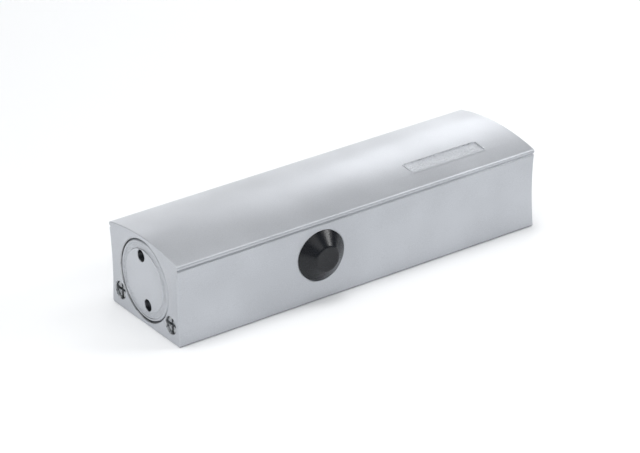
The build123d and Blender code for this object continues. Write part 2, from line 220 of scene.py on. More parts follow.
class StageSettings(bpy.types.PropertyGroup):
    floor: FloatVectorProperty(
        name="Floor", description="Colour of the floor", subtype="COLOR", size=4, min=0, max=1,
        default=srgb("#f4f5f6"),
    )
    lens: FloatProperty(
        name="Lens", description="Focal length of the camera in millimetres", min=50, max=300,
        default=172.87,
    )
    key: FloatProperty(
        name="Overhead", description="Strength of the light overhead",
        min=0, max=10, default=0.96,
    )
    ceiling: FloatProperty(
        name="Ceiling", description="Strength of the wide light overhead",
        subtype="POWER", min=0, max=100, default=3.7,
    )
    back: FloatProperty(
        name="Back wall", description="Strength of the light that the arch mirrors",
        subtype="POWER", min=0, max=100, default=1.4,
    )
    back_low: FloatProperty(
        name="Back wall, low",
        description="Strength of the low light that the back of the arch mirrors",
        subtype="POWER", min=0, max=100, default=1.0,
    )
    bead: FloatProperty(
        name="Bead", description="Strength of the light that the long edges mirror",
        subtype="POWER", min=0, max=100, default=2.1,
    )
    streak: FloatProperty(
        name="Cap", description="Strength of the small light that the cap mirrors",
        subtype="POWER", min=0, max=100, default=2.0,
    )
    fill: FloatProperty(
        name="Front fill", description="Strength of the light beside the camera",
        subtype="POWER", min=0, max=100, default=0.5,
    )
    near_left: FloatProperty(
        name="Near left", description="Strength of the light close to the near corner",
        subtype="POWER", min=0, max=100, default=0.6,
    )
    left: FloatProperty(
        name="Left back", description="Strength of the light behind and to the left",
        subtype="POWER", min=0, max=100, default=1.3,
    )
    high_left: FloatProperty(
        name="High left", description="Strength of the light above and to the left",
        subtype="POWER", min=0, max=100, default=1.0,
    )
    right: FloatProperty(
        name="Right end", description="Strength of the light behind the right end",
        subtype="POWER", min=0, max=100, default=0.6,
    )
    sky: FloatProperty(
        name="Surroundings", description="Strength of the even light all round",
        min=0, max=3, default=0.14,
    )


# Modelling steps that the pieces share


def start_clean():
    """Leave edit mode and deselect everything."""
    if bpy.context.mode != "OBJECT":
        bpy.ops.object.mode_set(mode="OBJECT")
    bpy.ops.object.select_all(action="DESELECT")


def choose(made, kind, test):
    """In edit mode, select only the edges or the faces that pass a test in millimetres."""
    bpy.ops.mesh.select_mode(type=kind)
    bpy.ops.mesh.select_all(action="DESELECT")
    bpy.ops.object.mode_set(mode="OBJECT")
    mesh = made.data
    if kind == "EDGE":
        for edge in mesh.edges:
            edge.select = test(*(mesh.vertices[i].co / MM for i in edge.vertices))
    else:
        for face in mesh.polygons:
            face.select = test(face.center / MM, face.normal)
    bpy.ops.object.mode_set(mode="EDIT")


def draw_line(name, corners):
    """Draw a line between corners in millimetres, as by hand, and stay in edit mode."""
    start_clean()
    bpy.ops.mesh.primitive_plane_add(size=MM, enter_editmode=True)
    made = bpy.context.active_object
    made.name = made.data.name = name
    bpy.ops.mesh.select_mode(type="VERT")
    bpy.ops.mesh.select_all(action="SELECT")
    bpy.ops.mesh.merge(type="CENTER")
    corners = [Vector(corner) * MM for corner in corners]
    bpy.ops.transform.translate(value=corners[0])
    for here, there in zip(corners, corners[1:]):
        bpy.ops.mesh.extrude_region_move(TRANSFORM_OT_translate={"value": there - here})
    return made


def close_shell():
    """Merge what meets and turn every face outwards."""
    bpy.ops.mesh.select_all(action="SELECT")
    bpy.ops.mesh.remove_doubles(threshold=0.002 * MM)
    bpy.ops.mesh.normals_make_consistent(inside=False)


def turn(name, outline, origin, way, steps=96):
    """Turn an outline of (distance, radius) pairs about a line that leaves origin along way."""
    origin, way = Vector(origin), Vector(way)
    side = Vector((1, 0, 0)) if way.z else Vector((0, 0, 1))
    corners = [origin + way * distance + side * radius for distance, radius in outline]
    made = draw_line(name, corners)
    bpy.ops.mesh.select_all(action="SELECT")
    bpy.ops.mesh.spin(steps=steps, angle=2 * math.pi, center=origin * MM, axis=way)
    close_shell()
    bpy.ops.object.mode_set(mode="OBJECT")
    return made


def draw_prism(name, corners, travel):
    """Fill an outline, extrude it and stay in edit mode; all in millimetres."""
    made = draw_line(name, corners)
    bpy.ops.mesh.select_all(action="SELECT")
    bpy.ops.mesh.edge_face_add()
    bpy.ops.mesh.extrude_region_move(TRANSFORM_OT_translate={"value": Vector(travel) * MM})
    close_shell()
    return made


def apply_all(made):
    """Apply the piece's modifiers in order."""
    start_clean()
    made.select_set(True)
    bpy.context.view_layer.objects.active = made
    for modifier in list(made.modifiers):
        bpy.ops.object.modifier_apply(modifier=modifier.name)


def cut(made, cutters, operation="DIFFERENCE"):
    """Cut solids out of a piece or join them on; each leaves its own finish on its faces."""
    for cutter in cutters:
        step = made.modifiers.new("cut", "BOOLEAN")
        step.operation = operation
        step.solver = "EXACT"
        step.material_mode = "TRANSFER"
        step.object = cutter
        apply_all(made)
        bpy.data.objects.remove(cutter)


def finish_shading(made, degrees=32):
    """Smooth the curved faces and keep the flat ones flat."""
    start_clean()
    made.select_set(True)
    bpy.context.view_layer.objects.active = made
    bpy.ops.object.shade_smooth_by_angle(angle=math.radians(degrees))
    step = made.modifiers.new("even shading", "WEIGHTED_NORMAL")
    step.keep_sharp = True
    step.weight = 100
    apply_all(made)


def give(made, *materials):
    """Fill a piece's material slots in order."""
    made.data.materials.clear()
    for material in materials:
        made.data.materials.append(material)


def stand_for(made, node, body):
    """Let a piece stand for a CAD node and move with its body."""
    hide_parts(node)
    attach(made, body)


def arc(start, middle, end, steps):
    """Points along the arc from start through middle to end, with both ends."""
    (ax, ay), (bx, by), (cx, cy) = start, middle, end
    d = 2 * (ax * (by - cy) + bx * (cy - ay) + cx * (ay - by))
    a2, b2, c2 = ax * ax + ay * ay, bx * bx + by * by, cx * cx + cy * cy
    x = (a2 * (by - cy) + b2 * (cy - ay) + c2 * (ay - by)) / d
    y = (a2 * (cx - bx) + b2 * (ax - cx) + c2 * (bx - ax)) / d
    radius = math.hypot(ax - x, ay - y)
    first, mid, last = (math.atan2(q - y, p - x) for p, q in (start, middle, end))
    sweep = (last - first) % (2 * math.pi)
    if (mid - first) % (2 * math.pi) > sweep:
        sweep -= 2 * math.pi
    angles = [first + sweep * n / steps for n in range(steps + 1)]
    return [(x + radius * math.cos(a), y + radius * math.sin(a)) for a in angles]


def both_ways(half):
    """A turned outline that mirrors its half about the middle."""
    return half + [(-distance, radius) for distance, radius in reversed(half)]


def drilled(radius, depth, mouth, point):
    """Outline of a drilled hole with a broken mouth; point is the height of the drill's point."""
    return [
        (-OVERSHOOT, 0), (-OVERSHOOT, radius + mouth), (0, radius + mouth), (mouth, radius),
        (depth, radius), (depth + point, 0),
    ]


def thread(start, end, root, crest, pitch):
    """Zigzag outline of a thread, drawn as rings because its lead doesn't show."""
    points = [(start, root)]
    for number in range(int((end - start) / pitch)):
        here = start + number * pitch
        points += [(here + pitch * 0.45, crest), (here + pitch * 0.55, crest), (here + pitch, root)]
    return points


def tapped(radius, depth, deepening=0.45, pitch=1.0):
    """Outline of a tapped hole: a broken mouth, the thread and the drill's point."""
    mouth, point = deepening + 0.3, 1.3
    outline = [(-1, 0), (-1, radius + mouth), (0, radius + mouth), (mouth, radius)]
    outline += thread(1.0, depth - 1.5, radius, radius + deepening, pitch)
    return outline + [(depth, radius), (depth + point, 0)]


# Finishes


def blank_material(name):
    """A new material, its emptied tree and the piece's own coordinates to lay a pattern on."""
    material = bpy.data.materials.new(name)
    material.use_nodes = True
    tree = material.node_tree
    tree.nodes.clear()
    return material, tree, add_node(tree, "ShaderNodeTexCoord").outputs["Object"]


def finish_material(
    tree, tint, dark, light, wear, wear_span, roughness, spread, relief, metallic=0.0, specular=0.5
):
    """Let one pattern vary the colour, another the roughness and a relief the surface."""
    ramp = add_node(tree, "ShaderNodeValToRGB", {"Fac": tint})
    for stop, (place, colour) in zip(ramp.color_ramp.elements, (dark, light)):
        stop.position = place
        stop.color = colour
    rough = add_node(
        tree, "ShaderNodeMapRange",
        {
            "Value": wear, "From Min": wear_span[0], "From Max": wear_span[1],
            "To Min": roughness - spread, "To Max": roughness + spread,
        },
    )
    shader = add_node(
        tree, "ShaderNodeBsdfPrincipled",
        {
            "Base Color": ramp.outputs["Color"], "Roughness": rough.outputs["Result"],
            "Normal": relief.outputs["Normal"], "Metallic": metallic,
            "Specular IOR Level": specular,
        },
    )
    add_node(tree, "ShaderNodeOutputMaterial", {"Surface": shader.outputs["BSDF"]})


def silver_paint(name, grain_size, relief_depth, strength):
    """Silver paint on cast aluminium: a cool, nearly even grey, a soft shine and a faint grain."""
    settings = bpy.context.scene.door_closer_case
    material, tree, place = blank_material(name)
    grain = add_node(
        tree, "ShaderNodeTexNoise",
        {"Vector": place, "Scale": 1 / (grain_size * MM), "Detail": 3.0, "Roughness": 0.6},
    ).outputs["Fac"]
    # The sprayed coat drifts slowly, over about 40 mm.
    coat = add_node(
        tree, "ShaderNodeTexNoise", {"Vector": place, "Scale": 1 / (40 * MM), "Detail": 2.0}
    ).outputs["Fac"]
    both = add_node(tree, "ShaderNodeMath", {0: grain, 1: coat}, operation="ADD").outputs[0]
    half = add_node(tree, "ShaderNodeMath", {0: both, 1: 0.5}, operation="MULTIPLY").outputs[0]
    relief = add_node(
        tree, "ShaderNodeBump",
        {"Height": grain, "Strength": strength, "Distance": relief_depth * MM},
    )
    finish_material(
        tree, tint=half, dark=(0.38, settings.paint_dark), light=(0.62, settings.paint_light),
        wear=grain, wear_span=(0.35, 0.65), roughness=settings.paint_roughness, spread=0.05,
        relief=relief, metallic=settings.paint_metallic,
    )
    return material


def worked_metal(name, light, dark, roughness, mark_size, axis, centre, metallic=1.0):
    """Metal with the marks of its making as rings about an axis, which give it a turned sheen.

    Real marks are 0.1 mm apart and less. They are drawn about six mark sizes apart, because
    finer ones don't show in the render.
    """
    material, tree, place = blank_material(name)
    centred = add_node(
        tree, "ShaderNodeMapping", {"Vector": place, "Location": [-c * MM for c in centre]},
        vector_type="POINT",
    ).outputs["Vector"]
    # At a scale of one, a wave texture's rings are two pi twentieths of a metre apart.
    rings = add_node(
        tree, "ShaderNodeTexWave",
        {
            "Vector": centred, "Scale": 1 / (mark_size * MM) / 20, "Distortion": 1.5,
            "Detail": 2.0, "Detail Scale": 3.0,
        },
        wave_type="RINGS", rings_direction=axis,
    ).outputs["Fac"]
    # Grain of about 0.8 mm, coarser than the metal's own for the same reason.
    grain = add_node(
        tree, "ShaderNodeTexNoise",
        {"Vector": place, "Scale": 1 / (0.8 * MM), "Detail": 4.0, "Roughness": 0.6},
    ).outputs["Fac"]
    both = add_node(tree, "ShaderNodeMath", {0: rings, 1: grain}, operation="ADD").outputs[0]
    half = add_node(tree, "ShaderNodeMath", {0: both, 1: 0.5}, operation="MULTIPLY").outputs[0]
    relief = add_node(
        tree, "ShaderNodeBump", {"Height": both, "Strength": 0.15, "Distance": 0.02 * MM}
    )
    finish_material(
        tree, tint=half, dark=(0.25, srgb(dark)), light=(0.75, srgb(light)),
        wear=half, wear_span=(0.3, 0.7), roughness=roughness, spread=0.06,
        relief=relief, metallic=metallic,
    )
    return material


def moulded(name, light, dark, roughness, grain_size, relief_depth, specular=0.5):
    """Moulded plastic or rubber: a dark even body with the fine grain of its mould.

    A mould's own grain is under 0.1 mm. It is drawn several times coarser, so that it shows.
    """
    material, tree, place = blank_material(name)
    grain = add_node(
        tree, "ShaderNodeTexNoise",
        {"Vector": place, "Scale": 1 / (grain_size * MM), "Detail": 3.0},
    ).outputs["Fac"]
    relief = add_node(
        tree, "ShaderNodeBump",
        {"Height": grain, "Strength": 0.2, "Distance": relief_depth * MM},
    )
    finish_material(
        tree, tint=grain, dark=(0.35, dark), light=(0.65, light),
        wear=grain, wear_span=(0.3, 0.7), roughness=roughness, spread=0.04,
        relief=relief, specular=specular,
    )
    return material


# Pieces


class DOORCLOSER_OT_case(bpy.types.Operator):
    """Model the painted case with its bores and the bare panel in its low rim"""

    bl_idname = "doorcloser.case"
    bl_label = "Case"

    def execute(self, context):
        settings = context.scene.door_closer_case
        # Paint grain is about 0.1 mm. It is drawn at 0.45 mm, because a finer one doesn't show.
        paint = silver_paint("silver_paint_on_smooth_casting", 0.45, 0.04, 0.2)
        # Bare fields are stippled at about 1.6 mm, coarse enough to catch the light.
        stipple = silver_paint("silver_paint_on_stippled_casting", 1.6, 0.9, 1.0)
        machined = worked_metal("bored_aluminium", "#c4c6c8", "#9fa2a5", 0.32, 0.5, "X", BORE)
        case = self.body(settings.edge_break)
        give(case, paint)
        cutters = self.bores()
        for cutter in cutters:
            # The spot faces round the spindle are painted, and what lies deeper is bored.
            give(cutter, machined, paint)
            for face in cutter.data.polygons:
                face.material_index = int(abs(face.center.y) > (SPOT_FACE - 0.1) * MM)
        for x in (-FIXING_X, FIXING_X):
            for y in (-FIXING_Y, FIXING_Y):
                outline = tapped(FIXING_RADIUS, FIXING_DEPTH)
                hole = turn("fixing_hole", outline, (x, y, 0), (0, 0, 1), steps=32)
                give(hole, machined)
                cutters.append(hole)
        rim, field = self.panel(settings)
        give(rim, paint)
        give(field, stipple)
        cut(case, [rim], "UNION")
        cut(case, cutters + [field])
        finish_shading(case)
        stand_for(case, "housing", "case")
        return {"FINISHED"}

    def body(self, edge_break):
        """The case's section drawn out to its length, with the edges of both ends broken."""
        # Half of the section, across and up: foot and waisted side, lip, groove, and the bead
        side = [(29.2, 0.0)] + arc((30.0, 0.8), (28.8, 20.1), (29.99, 39.75), 24)
        side += arc((29.95, 40.0), (29.86, 40.2), (29.68, 40.35), 3)
        side += [(29.25, 40.75)]
        side += arc((29.8, 41.1), (30.18, 41.3), (30.3, 41.7), 4)
        side += arc((30.3, 42.3), (30.05, 42.86), SHOULDER, 6)
        arch = arc(SHOULDER, (0, CASE_HIGH.z), (-SHOULDER[0], SHOULDER[1]), 48)[1:-1]
        other = [(-y, z) for y, z in reversed(side)]
        outline = [(NEAR_END, y, z) for y, z in side + arch + other]
        case = draw_prism("case_shell", outline, (FAR_END - NEAR_END, 0, 0))
        choose(
            case, "EDGE",
            lambda a, b: abs(a.x - b.x) < 0.01 and abs(abs(a.x) - FAR_END) < 0.01,
        )
        bpy.ops.mesh.bevel(offset=edge_break, segments=3, profile=0.5, affect="EDGES")
        bpy.ops.object.mode_set(mode="OBJECT")
        return case

    def bores(self):
        """Cutters for the main bore, the spindle's bore and the bores of the three valves."""
        # Radii of the piston's and the plug's bore, the plug's seat and the broken mouth
        piston, plug, seat, mouth = 19, 21, 96.5, 0.4
        outline = both_ways([
            (FAR_END + OVERSHOOT, 0), (FAR_END + OVERSHOOT, plug + mouth), (FAR_END, plug + mouth),
            (FAR_END - mouth, plug), (seat, plug), (seat, piston),
        ])
        cutters = [turn("main_bore", outline, BORE, ALONG)]
        # Radii of the bearing's and the ring's bore and of the spot face, and the ring's seat
        bearing, ring, spot, seat, outside = 12, 13, 13.7, 21.1, 40
        outline = both_ways([
            (outside, 0), (outside, spot), (SPOT_FACE, spot), (SPOT_FACE, ring), (seat, ring),
            (seat, bearing),
        ])
        cutters.append(turn("spindle_bore", outline, SPINDLE, ACROSS, steps=72))
        # Radii of the screw's bore and the oil way behind it, the screw's seat and the depth
        screw, oil, seat, depth, mouth = 4.4, 2, 14.55, 40, 0.35
        outline = [
            (-OVERSHOOT, 0), (-OVERSHOOT, screw + mouth), (0, screw + mouth), (mouth, screw),
            (seat, screw), (seat, oil), (depth, oil), (depth, 0),
        ]
        for _, end, way, y in VALVES:
            cutters.append(turn("valve_bore", outline, (end, y, VALVE_Z), way, steps=48))
        return cutters

    def panel(self, settings):
        """The block that adds the panel's rim and the one that cuts the bare field inside it."""
        depth, rise = settings.panel_depth / MM, settings.rim_height / MM
        length, width = settings.panel_length / MM, settings.panel_width / MM
        half_chord, height = SHOULDER[0], CASE_HIGH.z - SHOULDER[1]
        radius = (half_chord ** 2 + height ** 2) / (2 * height)
        centre = CASE_HIGH.z - radius
        outer_slope, inner_slope = 35, 62
        narrowing = 2 * (depth + rise) / math.tan(math.radians(inner_slope))
        # The rim's block goes down into the case, and the field's stands clear of the rim.
        crests, below, above = 2 * PANEL_CREST, -rise - 0.8, 3 * rise
        rim = self.block(
            "panel_rim", length + crests, width + crests, centre, radius + rise, below, outer_slope
        )
        field = self.block(
            "panel_field", length - narrowing, width - narrowing, centre, radius - depth, above,
            inner_slope,
        )
        return rim, field

    def block(self, name, length, width, centre, radius, reach, slope):
        """A block whose first face follows the arch and whose walls lean out by the slope."""
        x, y = PANEL_PLACE
        half_length, half_width = length / 2, width / 2
        spread = abs(reach) / math.tan(math.radians(slope))
        across = [y + half_width * n / 5 for n in range(-5, 6)]
        line = [(x - half_length, at, centre + math.sqrt(radius ** 2 - at * at)) for at in across]
        made = draw_line(name, line)
        bpy.ops.mesh.select_all(action="SELECT")
        bpy.ops.mesh.extrude_region_move(TRANSFORM_OT_translate={"value": (length * MM, 0, 0)})
        bpy.ops.mesh.select_all(action="SELECT")
        bpy.ops.mesh.select_mode(type="FACE")
        bpy.ops.mesh.extrude_region_move(TRANSFORM_OT_translate={"value": (0, 0, reach * MM)})
        bpy.ops.transform.resize(
            value=(1 + spread / half_length, 1 + spread / half_width, 1),
            center_override=Vector((x, y, centre + radius)) * MM,
        )
        choose(
            made, "EDGE",
            lambda a, b: abs(a.z - b.z) > abs(reach) * 0.8 and all(
                abs(p.x - x) > half_length - 0.1 and abs(p.y - y) > half_width - 0.1 for p in (a, b)
            ),
        )
        bpy.ops.mesh.bevel(offset=0.7 * MM, segments=4, affect="EDGES")
        close_shell()
        bpy.ops.object.mode_set(mode="OBJECT")
        return made


class DOORCLOSER_OT_end_plugs(bpy.types.Operator):
    """Model the screwed end plugs with their spanner holes"""

    bl_idname = "doorcloser.end_plugs"
    bl_label = "End Plugs"

    def execute(self, context):
        settings = context.scene.door_closer_plug
        paint = bpy.data.materials["silver_paint_on_smooth_casting"]
        stipple = bpy.data.materials["silver_paint_on_stippled_casting"]
        turned = worked_metal("turned_plug_steel", "#b9bbbe", "#8f9296", 0.34, 0.6, "X", BORE)
        screw_way = 5.04
        for name, (end, way), core in (
            ("cylinder_plug", ENDS[0], 0), ("spring_plug", ENDS[1], screw_way)
        ):
            outline = self.section(settings.edge_round / MM, core)
            plug = turn(name + "_face", outline, (end, 0, AXIS_Z), way)
            give(plug, paint, stipple)
            for part in plug.data.polygons:
                reach = math.hypot(part.center.y, part.center.z - AXIS_Z * MM) / MM
                in_track = TRACK_INNER + 0.4 < reach < TRACK_OUTER - 0.4
                part.material_index = int(in_track and part.normal.x * way.x < -0.9)
            cutters = []
            for angle in (math.radians(degrees) for degrees in PIN_ANGLES):
                across, up = PIN_CIRCLE * math.cos(angle), PIN_CIRCLE * math.sin(angle)
                place = (end + way.x * PLUG_FACE, -way.x * across, AXIS_Z + up)
                outline = drilled(settings.hole_radius / MM, depth=5.6, mouth=0.25, point=1.2)
                hole = turn("spanner_hole", outline, place, way, steps=48)
                give(hole, turned)
                cutters.append(hole)
            cut(plug, cutters)
            finish_shading(plug)
            stand_for(plug, name, "case")
        return {"FINISHED"}

    def section(self, edge, core):
        """A plug's outline; core is the radius of the way for the adjusting screw, or 0."""
        face, lean = PLUG_FACE, 0.3
        rim, root = PLUG_THREAD - PLUG_GAP, PLUG_THREAD - PLUG_THREAD_DEPTH
        middle = [(face, 0)]
        if core:
            # The screw's head lies in a pocket.
            floor, pocket = 5, 7.5
            middle = [(floor, core), (floor, pocket), (face + lean, pocket), (face, pocket + lean)]
        # A shallow track with leaning walls and a stippled floor
        sunk = face + TRACK_DEPTH
        track = [
            (face, TRACK_INNER), (sunk, TRACK_INNER + lean), (sunk, TRACK_OUTER - lean),
            (face, TRACK_OUTER),
        ]
        halfway = (face + edge * 0.29, rim - edge * 0.29)
        rounded = arc((face, rim - edge), halfway, (face + edge, rim), 8)
        back = [(face + 1.6, rim)]
        back += thread(1.8, PLUG_DEPTH - 0.3, root, PLUG_THREAD, PLUG_PITCH)
        back += [(PLUG_DEPTH, root), (PLUG_DEPTH, core)]
        outline = middle + track + rounded + back
        return outline + middle[:1] if core else outline


class DOORCLOSER_OT_valves(bpy.types.Operator):
    """Model the cross-slotted regulating screws"""

    bl_idname = "doorcloser.valves"
    bl_label = "Regulating Screws"

    def execute(self, context):
        settings = context.scene.door_closer_screw
        width, depth = settings.slot_width / MM, settings.slot_depth / MM
        # Head with a broken edge, thread, neck and the cone that throttles the oil
        head, root, crest, neck = 1.2, 3.85, 4.35, 1.9
        outline = [(head, 0), (head, 4.05), (1.3, 4.25), (1.55, crest)]
        outline += thread(2.2, 9.4, root, crest, 1.0)
        outline += [(9.6, root), (9.6, neck), (14.45, neck), (16.95, 1.0), (16.95, 0)]
        for name, end, way, y in VALVES:
            zinc = worked_metal(
                "zinc_plated_" + name, "#c6c8ca", "#9a9da0", 0.36, 0.35, "X", (0, y, VALVE_Z)
            )
            screw = turn(name + "_screw", outline, (end, y, VALVE_Z), way, steps=64)
            give(screw, zinc)
            # The slots run across the whole head, and their cutters stand clear in front of it.
            length, clear = 9.4, 2
            middle = Vector((end + way.x * (head + (depth - clear) / 2), y, VALVE_Z)) * MM
            cutters = []
            for across, up in ((width, length), (length, width)):
                start_clean()
                bpy.ops.mesh.primitive_cube_add(size=MM, location=middle)
                slot = context.active_object
                bpy.ops.object.mode_set(mode="EDIT")
                bpy.ops.transform.resize(value=(depth + clear, across, up))
                bpy.ops.mesh.select_all(action="SELECT")
                bpy.ops.mesh.bevel(offset=0.12 * MM, segments=2, affect="EDGES")
                bpy.ops.object.mode_set(mode="OBJECT")
                bpy.ops.object.transform_apply(location=True)
                give(slot, zinc)
                cutters.append(slot)
            cut(screw, cutters)
            finish_shading(screw)
            stand_for(screw, name, name)
        return {"FINISHED"}


class DOORCLOSER_OT_cap(bpy.types.Operator):
    """Model the satin black cap on the spindle"""

    bl_idname = "doorcloser.cap"
    bl_label = "Spindle Cap"

    def execute(self, context):
        settings = context.scene.door_closer_cap
        edge = settings.front_round / MM
        front, base, wide = -CAP_LOW.y, -CAP_HIGH.y, CAP_RADIUS
        # The nose is rounded from a point on the cone to one on the front.
        corner = Vector((front, CAP_FRONT_RADIUS))
        slope = (corner - Vector((base + 0.35, wide))).normalized()
        before = corner - slope * edge
        after = corner - Vector((0, edge))
        middle = (before + after) / 2 * 0.45 + corner * 0.55
        nose = arc(tuple(before), tuple(middle), tuple(after), 8)
        # A thin foot with broken edges, the cone with its nose and a slightly dished front
        outline = [(base, 0), (base, wide - 0.3), (base + 0.08, wide - 0.1), (base + 0.3, wide)]
        outline += [(base + 0.42, wide - 0.08)] + nose + [(front - 0.12, 3.5), (front - 0.15, 0)]
        cap = turn("spindle_cap_cover", outline, (SPINDLE_X, 0, AXIS_Z), -ACROSS)
        # Nylon from a finely polished mould: deep black with one clear soft streak of shine
        black = moulded(
            "satin_black_nylon", settings.plastic, srgb("#0a0d12"), 0.27, 0.35, 0.01,
            specular=settings.gloss,
        )
        give(cap, black)
        # The square socket that grips the spindle's stub narrows as the stub does.
        across, depth, length, narrowing = 10.5, 4.2, 10, 0.925
        middle = Vector((SPINDLE_X, -(base + depth - length / 2), AXIS_Z)) * MM
        start_clean()
        bpy.ops.mesh.primitive_cube_add(size=MM, location=middle)
        socket = context.active_object
        bpy.ops.object.transform_apply(location=True)
        bpy.ops.object.mode_set(mode="EDIT")
        bpy.ops.transform.resize(value=(across, length, across), center_override=middle)
        choose(socket, "FACE", lambda centre, normal: normal.y < -0.9)
        bpy.ops.transform.resize(value=(narrowing, 1, narrowing), center_override=middle)
        bpy.ops.object.mode_set(mode="OBJECT")
        give(socket, black)
        cut(cap, [socket])
        finish_shading(cap, 40)
        stand_for(cap, "spindle_cap", "spindle")
        return {"FINISHED"}


class DOORCLOSER_OT_works(bpy.types.Operator):
    """Finish the spindle, the piston and the other pieces inside, and wind the closing spring"""

    bl_idname = "doorcloser.works"
    bl_label = "Works"

    def execute(self, context):
        bright = worked_metal("turned_bright_steel", "#c9cac9", "#9b9c9c", 0.28, 0.5, "Y", SPINDLE)
        ground = worked_metal("ground_screw_steel", "#bfc0c0", "#8d8e8f", 0.30, 0.5, "X", BORE)
        iron = worked_metal("machined_grey_iron", "#6e6e6d", "#4b4b4b", 0.48, 0.8, "X", BORE)
        bronze = worked_metal("bearing_bronze", "#c49a5e", "#9a7440", 0.35, 0.5, "Y", SPINDLE)
        rubber = moulded("nitrile_rubber", srgb("#1c1c1d"), srgb("#111112"), 0.62, 0.5, 0.02)
        finishes = {
            "cap_side_bearing_ring": bright, "arm_side_bearing_ring": bright,
            "piston": iron, "check_disc": ground, "check_disc_retainer": ground,
            "spring_plate": ground, "adjusting_screw_circlip": ground,
            "cap_side_bearing": bronze, "arm_side_bearing": bronze,
            "cap_side_shaft_seal": rubber, "arm_side_shaft_seal": rubber,
        }
        for name, material in finishes.items():
            give(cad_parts[name], material)
        self.tap_spindle(bright)
        self.turn_adjusting_screw(ground)
        self.wind_spring(context)
        return {"FINISHED"}

    def tap_spindle(self, steel):
        """The CAD spindle with a threaded hole for the arm's screw."""
        start_clean()
        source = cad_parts["spindle"]
        source.select_set(True)
        bpy.context.view_layer.objects.active = source
        bpy.ops.object.duplicate()
        spindle = bpy.context.active_object
        spindle.name = spindle.data.name = "spindle_shaft"
        bpy.ops.object.mode_set(mode="EDIT")
        close_shell()
        bpy.ops.object.mode_set(mode="OBJECT")
        give(spindle, steel)
        place = (SPINDLE_X, SPINDLE_HIGH.y, AXIS_Z)
        outline = tapped(ARM_SCREW_RADIUS, ARM_SCREW_DEPTH)
        hole = turn("arm_screw_hole_cutter", outline, place, -ACROSS, steps=48)
        give(hole, steel)
        cut(spindle, [hole])
        finish_shading(spindle)
        stand_for(spindle, "spindle", "spindle")

    def turn_adjusting_screw(self, steel):
        """A long threaded screw with a collar, a circlip groove and a hexagon socket."""
        # Head with the circlip's groove, collar, then the thread and its lead-in
        head, shank, collar = 2.5, 5, 8
        outline = [(head, 0), (head, 4.6), (2.9, shank), (3.9, shank), (3.9, 4.5), (5, 4.5)]
        outline += [(5, shank), (10.1, shank), (10.1, 7.8), (10.3, collar), (12.8, collar)]
        outline += [(13, 7.8), (13, shank)] + thread(13.5, 36, shank, 4.3, ADJUSTER_PITCH)
        outline += [(36.5, 4.6), (37, 4.2), (37, 0)]
        screw = turn("adjusting_screw_turned", outline, (FAR_END, 0, AXIS_Z), -ALONG, steps=64)
        give(screw, steel)
        start_clean()
        across_flats, length = 5, 10
        bpy.ops.mesh.primitive_cylinder_add(
            vertices=6, radius=across_flats / math.sqrt(3) * MM, depth=length * MM,
            rotation=(0, math.pi / 2, 0), location=Vector((FAR_END - head, 0, AXIS_Z)) * MM,
        )
        socket = bpy.context.active_object
        bpy.ops.object.transform_apply(location=True, rotation=True)
        bpy.ops.object.mode_set(mode="EDIT")
        choose(socket, "FACE", lambda centre, normal: normal.x < -0.9)
        bpy.ops.mesh.inset(thickness=0.4 * MM)
        bpy.ops.transform.translate(value=(-0.4 * MM, 0, 0))
        bpy.ops.object.mode_set(mode="OBJECT")
        give(socket, steel)
        cut(screw, [socket])
        finish_shading(screw)
        stand_for(screw, "adjusting_screw", "adjusting_screw")

    def wind_spring(self, context):
        """Wind the closing spring in two lengths that meet at the split."""
        settings = context.scene.door_closer_spring
        # Oil-tempered wire: dark grey-brown with a dull shine and faint drawing lines
        material = worked_metal(
            "oil_tempered_spring_wire", "#56524d", "#38352f", 0.42, 0.4, "X", BORE, metallic=0.9
        )
        wire = settings.wire / MM
        radius = SPRING_RADIUS - wire / 2
        start, end = SPRING_LOW.x, SPRING_HIGH.x
        pitch = (end - start) / (settings.half_turns / 2)
        # The coil is wound a wire's width past both ends, which are then cut flat.
        wound = end - start + 2 * wire
        start_clean()
        bpy.ops.mesh.primitive_circle_add(
            vertices=20, radius=settings.wire / 2, rotation=(math.pi / 2, 0, 0),
            location=Vector((start - wire, 0, radius)) * MM,
        )
        spring = context.active_object
        spring.name = spring.data.name = "closing_spring_coil"
        bpy.ops.object.transform_apply(location=True, rotation=True)
        screw = spring.modifiers.new("wind", "SCREW")
        screw.axis = "X"
        screw.angle = 2 * math.pi * wound / pitch
        screw.screw_offset = wound * MM
        screw.steps = screw.render_steps = 240
        screw.use_normal_calculate = True
        apply_all(spring)
        bpy.ops.object.mode_set(mode="EDIT")
        bpy.ops.mesh.select_all(action="SELECT")
        bpy.ops.transform.translate(value=(0, 0, AXIS_Z * MM))
        bpy.ops.object.mode_set(mode="OBJECT")
        # The two lengths meet where neither the piston nor the spring plate moves the coil.
        rest = spring.copy()
        rest.data = spring.data.copy()
        rest.name = rest.data.name = "closing_spring_end_coil"
        context.scene.collection.objects.link(rest)
        for coil, low, high, joint in (
            (spring, start, COIL_SPLIT, "piston_slide"),
            (rest, COIL_SPLIT, end, "spring_plate_slide"),
        ):
            self.trim(coil, low, high)
            give(coil, material)
            finish_shading(coil, 40)
            stand_for(coil, "closing_spring", "case")
            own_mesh(coil)

    def trim(self, coil, low, high):
        """Cut a coil flat at both ends and close the cuts."""
        start_clean()
        coil.select_set(True)
        bpy.context.view_layer.objects.active = coil
        bpy.ops.object.mode_set(mode="EDIT")
        for x, side in ((low, 1), (high, -1)):
            bpy.ops.mesh.select_all(action="SELECT")
            bpy.ops.mesh.bisect(
                plane_co=(x * MM, 0, AXIS_Z * MM), plane_no=(side, 0, 0),
                use_fill=True, clear_inner=True,
            )
        bpy.ops.mesh.select_all(action="SELECT")
        bpy.ops.mesh.normals_make_consistent(inside=False)
        bpy.ops.object.mode_set(mode="OBJECT")


